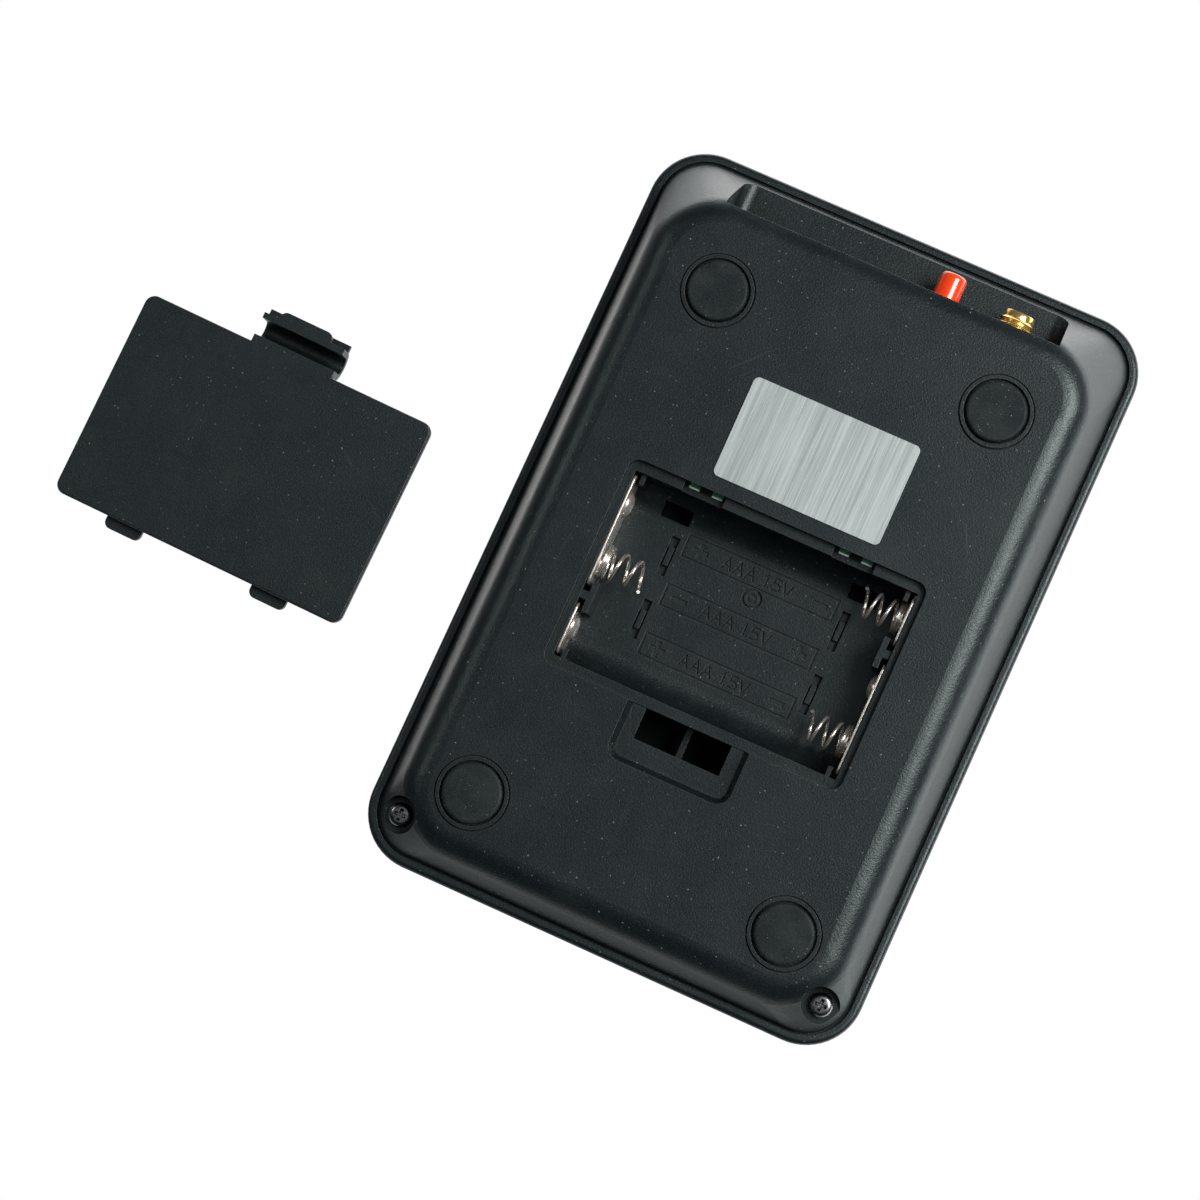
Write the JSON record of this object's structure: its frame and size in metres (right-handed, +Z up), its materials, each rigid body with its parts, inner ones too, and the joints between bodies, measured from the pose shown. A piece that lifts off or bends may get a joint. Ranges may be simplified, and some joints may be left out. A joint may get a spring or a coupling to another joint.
{
  "type": "keypad transmitter of a guest pager system",
  "caption": "Sloping desk keypad with display and square keys; open battery bay underneath, battery door lying beside it, antenna and power sockets in the back edge.",
  "frame": {"origin": "on the table, under the middle of the housing", "axes": "+Z up through the keys, +Y towards the connectors, +X to the right of a user who faces the display"},
  "size_m": [0.1582, 0.1334, 0.0285],
  "materials": {
    "shell_plastic": "fine texture, dark grey",
    "foot_rubber": "matt, dusty",
    "silver_plate": "brushed, bare",
    "dark_steel": "blackened",
    "bright_steel": "zinc plated",
    "nickel": "bright",
    "gold": "gold plated",
    "insulator": "white, waxy",
    "red_button": "glossy",
    "board_green": "solder mask",
    "black_resin": "moulded",
    "key_cap": "light grey, printed",
    "mat_rubber": "translucent grey",
    "display": "black with bright digits",
    "lens": "dark tinted, clear",
    "led_green": "diffused",
    "wire_red": "sleeved wire"
  },
  "bodies": {
    "housing": {"rear_shell": "shell_plastic", "front_shell": "shell_plastic", "foot_1": "foot_rubber", "foot_2": "foot_rubber", "foot_3": "foot_rubber", "foot_4": "foot_rubber", "rating_plate": "silver_plate", "housing_screws": "dark_steel", "main_board_screws": "bright_steel", "keypad_board_screws": "bright_steel", "radio_shield": "bright_steel", "contact_positive": "nickel", "contact_negative": "nickel", "contact_link_front": "nickel", "contact_link_rear": "nickel", "battery_spring_1": "nickel", "battery_spring_2": "nickel", "battery_spring_3": "nickel", "dc_pin": "nickel", "antenna_jack": "gold", "antenna_contact": "gold", "antenna_insulator": "insulator", "main_board": "board_green", "keypad_board": "board_green", "power_switch": "black_resin", "dc_power_jack": "black_resin", "board_link": "black_resin", "buzzer": "black_resin", "control_chip": "black_resin", "keypad_mat": "mat_rubber", "display_module": "display", "display_lens": "lens", "status_led": "led_green", "battery_lead": "wire_red"},
    "key_01": {"key_01": "key_cap"},
    "key_02": {"key_02": "key_cap"},
    "key_03": {"key_03": "key_cap"},
    "key_04": {"key_04": "key_cap"},
    "key_05": {"key_05": "key_cap"},
    "key_06": {"key_06": "key_cap"},
    "key_07": {"key_07": "key_cap"},
    "key_08": {"key_08": "key_cap"},
    "key_09": {"key_09": "key_cap"},
    "key_10": {"key_10": "key_cap"},
    "key_11": {"key_11": "key_cap"},
    "key_12": {"key_12": "key_cap"},
    "key_13": {"key_13": "key_cap"},
    "key_14": {"key_14": "key_cap"},
    "key_15": {"key_15": "key_cap"},
    "key_16": {"key_16": "key_cap"},
    "power_button": {"power_button": "red_button"},
    "battery_cover": {"battery_cover": "shell_plastic"}
  },
  "joints": [
    {"name": "key_01_press", "type": "slide", "parent": "housing", "child": "key_01", "axis": [0, 0.0732, -0.9973], "range_m": [0, 0.001], "stiffness_N_per_m": 700, "springref_m": -0.0004},
    {"name": "key_02_press", "type": "slide", "parent": "housing", "child": "key_02", "axis": [0, 0.0732, -0.9973], "range_m": [0, 0.001], "stiffness_N_per_m": 700, "springref_m": -0.0004},
    {"name": "key_03_press", "type": "slide", "parent": "housing", "child": "key_03", "axis": [0, 0.0732, -0.9973], "range_m": [0, 0.001], "stiffness_N_per_m": 700, "springref_m": -0.0004},
    {"name": "key_04_press", "type": "slide", "parent": "housing", "child": "key_04", "axis": [0, 0.0732, -0.9973], "range_m": [0, 0.001], "stiffness_N_per_m": 700, "springref_m": -0.0004},
    {"name": "key_05_press", "type": "slide", "parent": "housing", "child": "key_05", "axis": [0, 0.0732, -0.9973], "range_m": [0, 0.001], "stiffness_N_per_m": 700, "springref_m": -0.0004},
    {"name": "key_06_press", "type": "slide", "parent": "housing", "child": "key_06", "axis": [0, 0.0732, -0.9973], "range_m": [0, 0.001], "stiffness_N_per_m": 700, "springref_m": -0.0004},
    {"name": "key_07_press", "type": "slide", "parent": "housing", "child": "key_07", "axis": [0, 0.0732, -0.9973], "range_m": [0, 0.001], "stiffness_N_per_m": 700, "springref_m": -0.0004},
    {"name": "key_08_press", "type": "slide", "parent": "housing", "child": "key_08", "axis": [0, 0.0732, -0.9973], "range_m": [0, 0.001], "stiffness_N_per_m": 700, "springref_m": -0.0004},
    {"name": "key_09_press", "type": "slide", "parent": "housing", "child": "key_09", "axis": [0, 0.0732, -0.9973], "range_m": [0, 0.001], "stiffness_N_per_m": 700, "springref_m": -0.0004},
    {"name": "key_10_press", "type": "slide", "parent": "housing", "child": "key_10", "axis": [0, 0.0732, -0.9973], "range_m": [0, 0.001], "stiffness_N_per_m": 700, "springref_m": -0.0004},
    {"name": "key_11_press", "type": "slide", "parent": "housing", "child": "key_11", "axis": [0, 0.0732, -0.9973], "range_m": [0, 0.001], "stiffness_N_per_m": 700, "springref_m": -0.0004},
    {"name": "key_12_press", "type": "slide", "parent": "housing", "child": "key_12", "axis": [0, 0.0732, -0.9973], "range_m": [0, 0.001], "stiffness_N_per_m": 700, "springref_m": -0.0004},
    {"name": "key_13_press", "type": "slide", "parent": "housing", "child": "key_13", "axis": [0, 0.0732, -0.9973], "range_m": [0, 0.001], "stiffness_N_per_m": 700, "springref_m": -0.0004},
    {"name": "key_14_press", "type": "slide", "parent": "housing", "child": "key_14", "axis": [0, 0.0732, -0.9973], "range_m": [0, 0.001], "stiffness_N_per_m": 700, "springref_m": -0.0004},
    {"name": "key_15_press", "type": "slide", "parent": "housing", "child": "key_15", "axis": [0, 0.0732, -0.9973], "range_m": [0, 0.001], "stiffness_N_per_m": 700, "springref_m": -0.0004},
    {"name": "key_16_press", "type": "slide", "parent": "housing", "child": "key_16", "axis": [0, 0.0732, -0.9973], "range_m": [0, 0.001], "stiffness_N_per_m": 700, "springref_m": -0.0004},
    {"name": "power_button_press", "type": "slide", "parent": "housing", "child": "power_button", "axis": [0, -1, 0], "range_m": [0, 0.002], "stiffness_N_per_m": 500, "springref_m": -0.001},
    {"name": "battery_cover_lift", "type": "slide", "parent": "housing", "child": "battery_cover", "axis": [0, 0, 1], "range_m": [0, 0.04]}
  ]
}
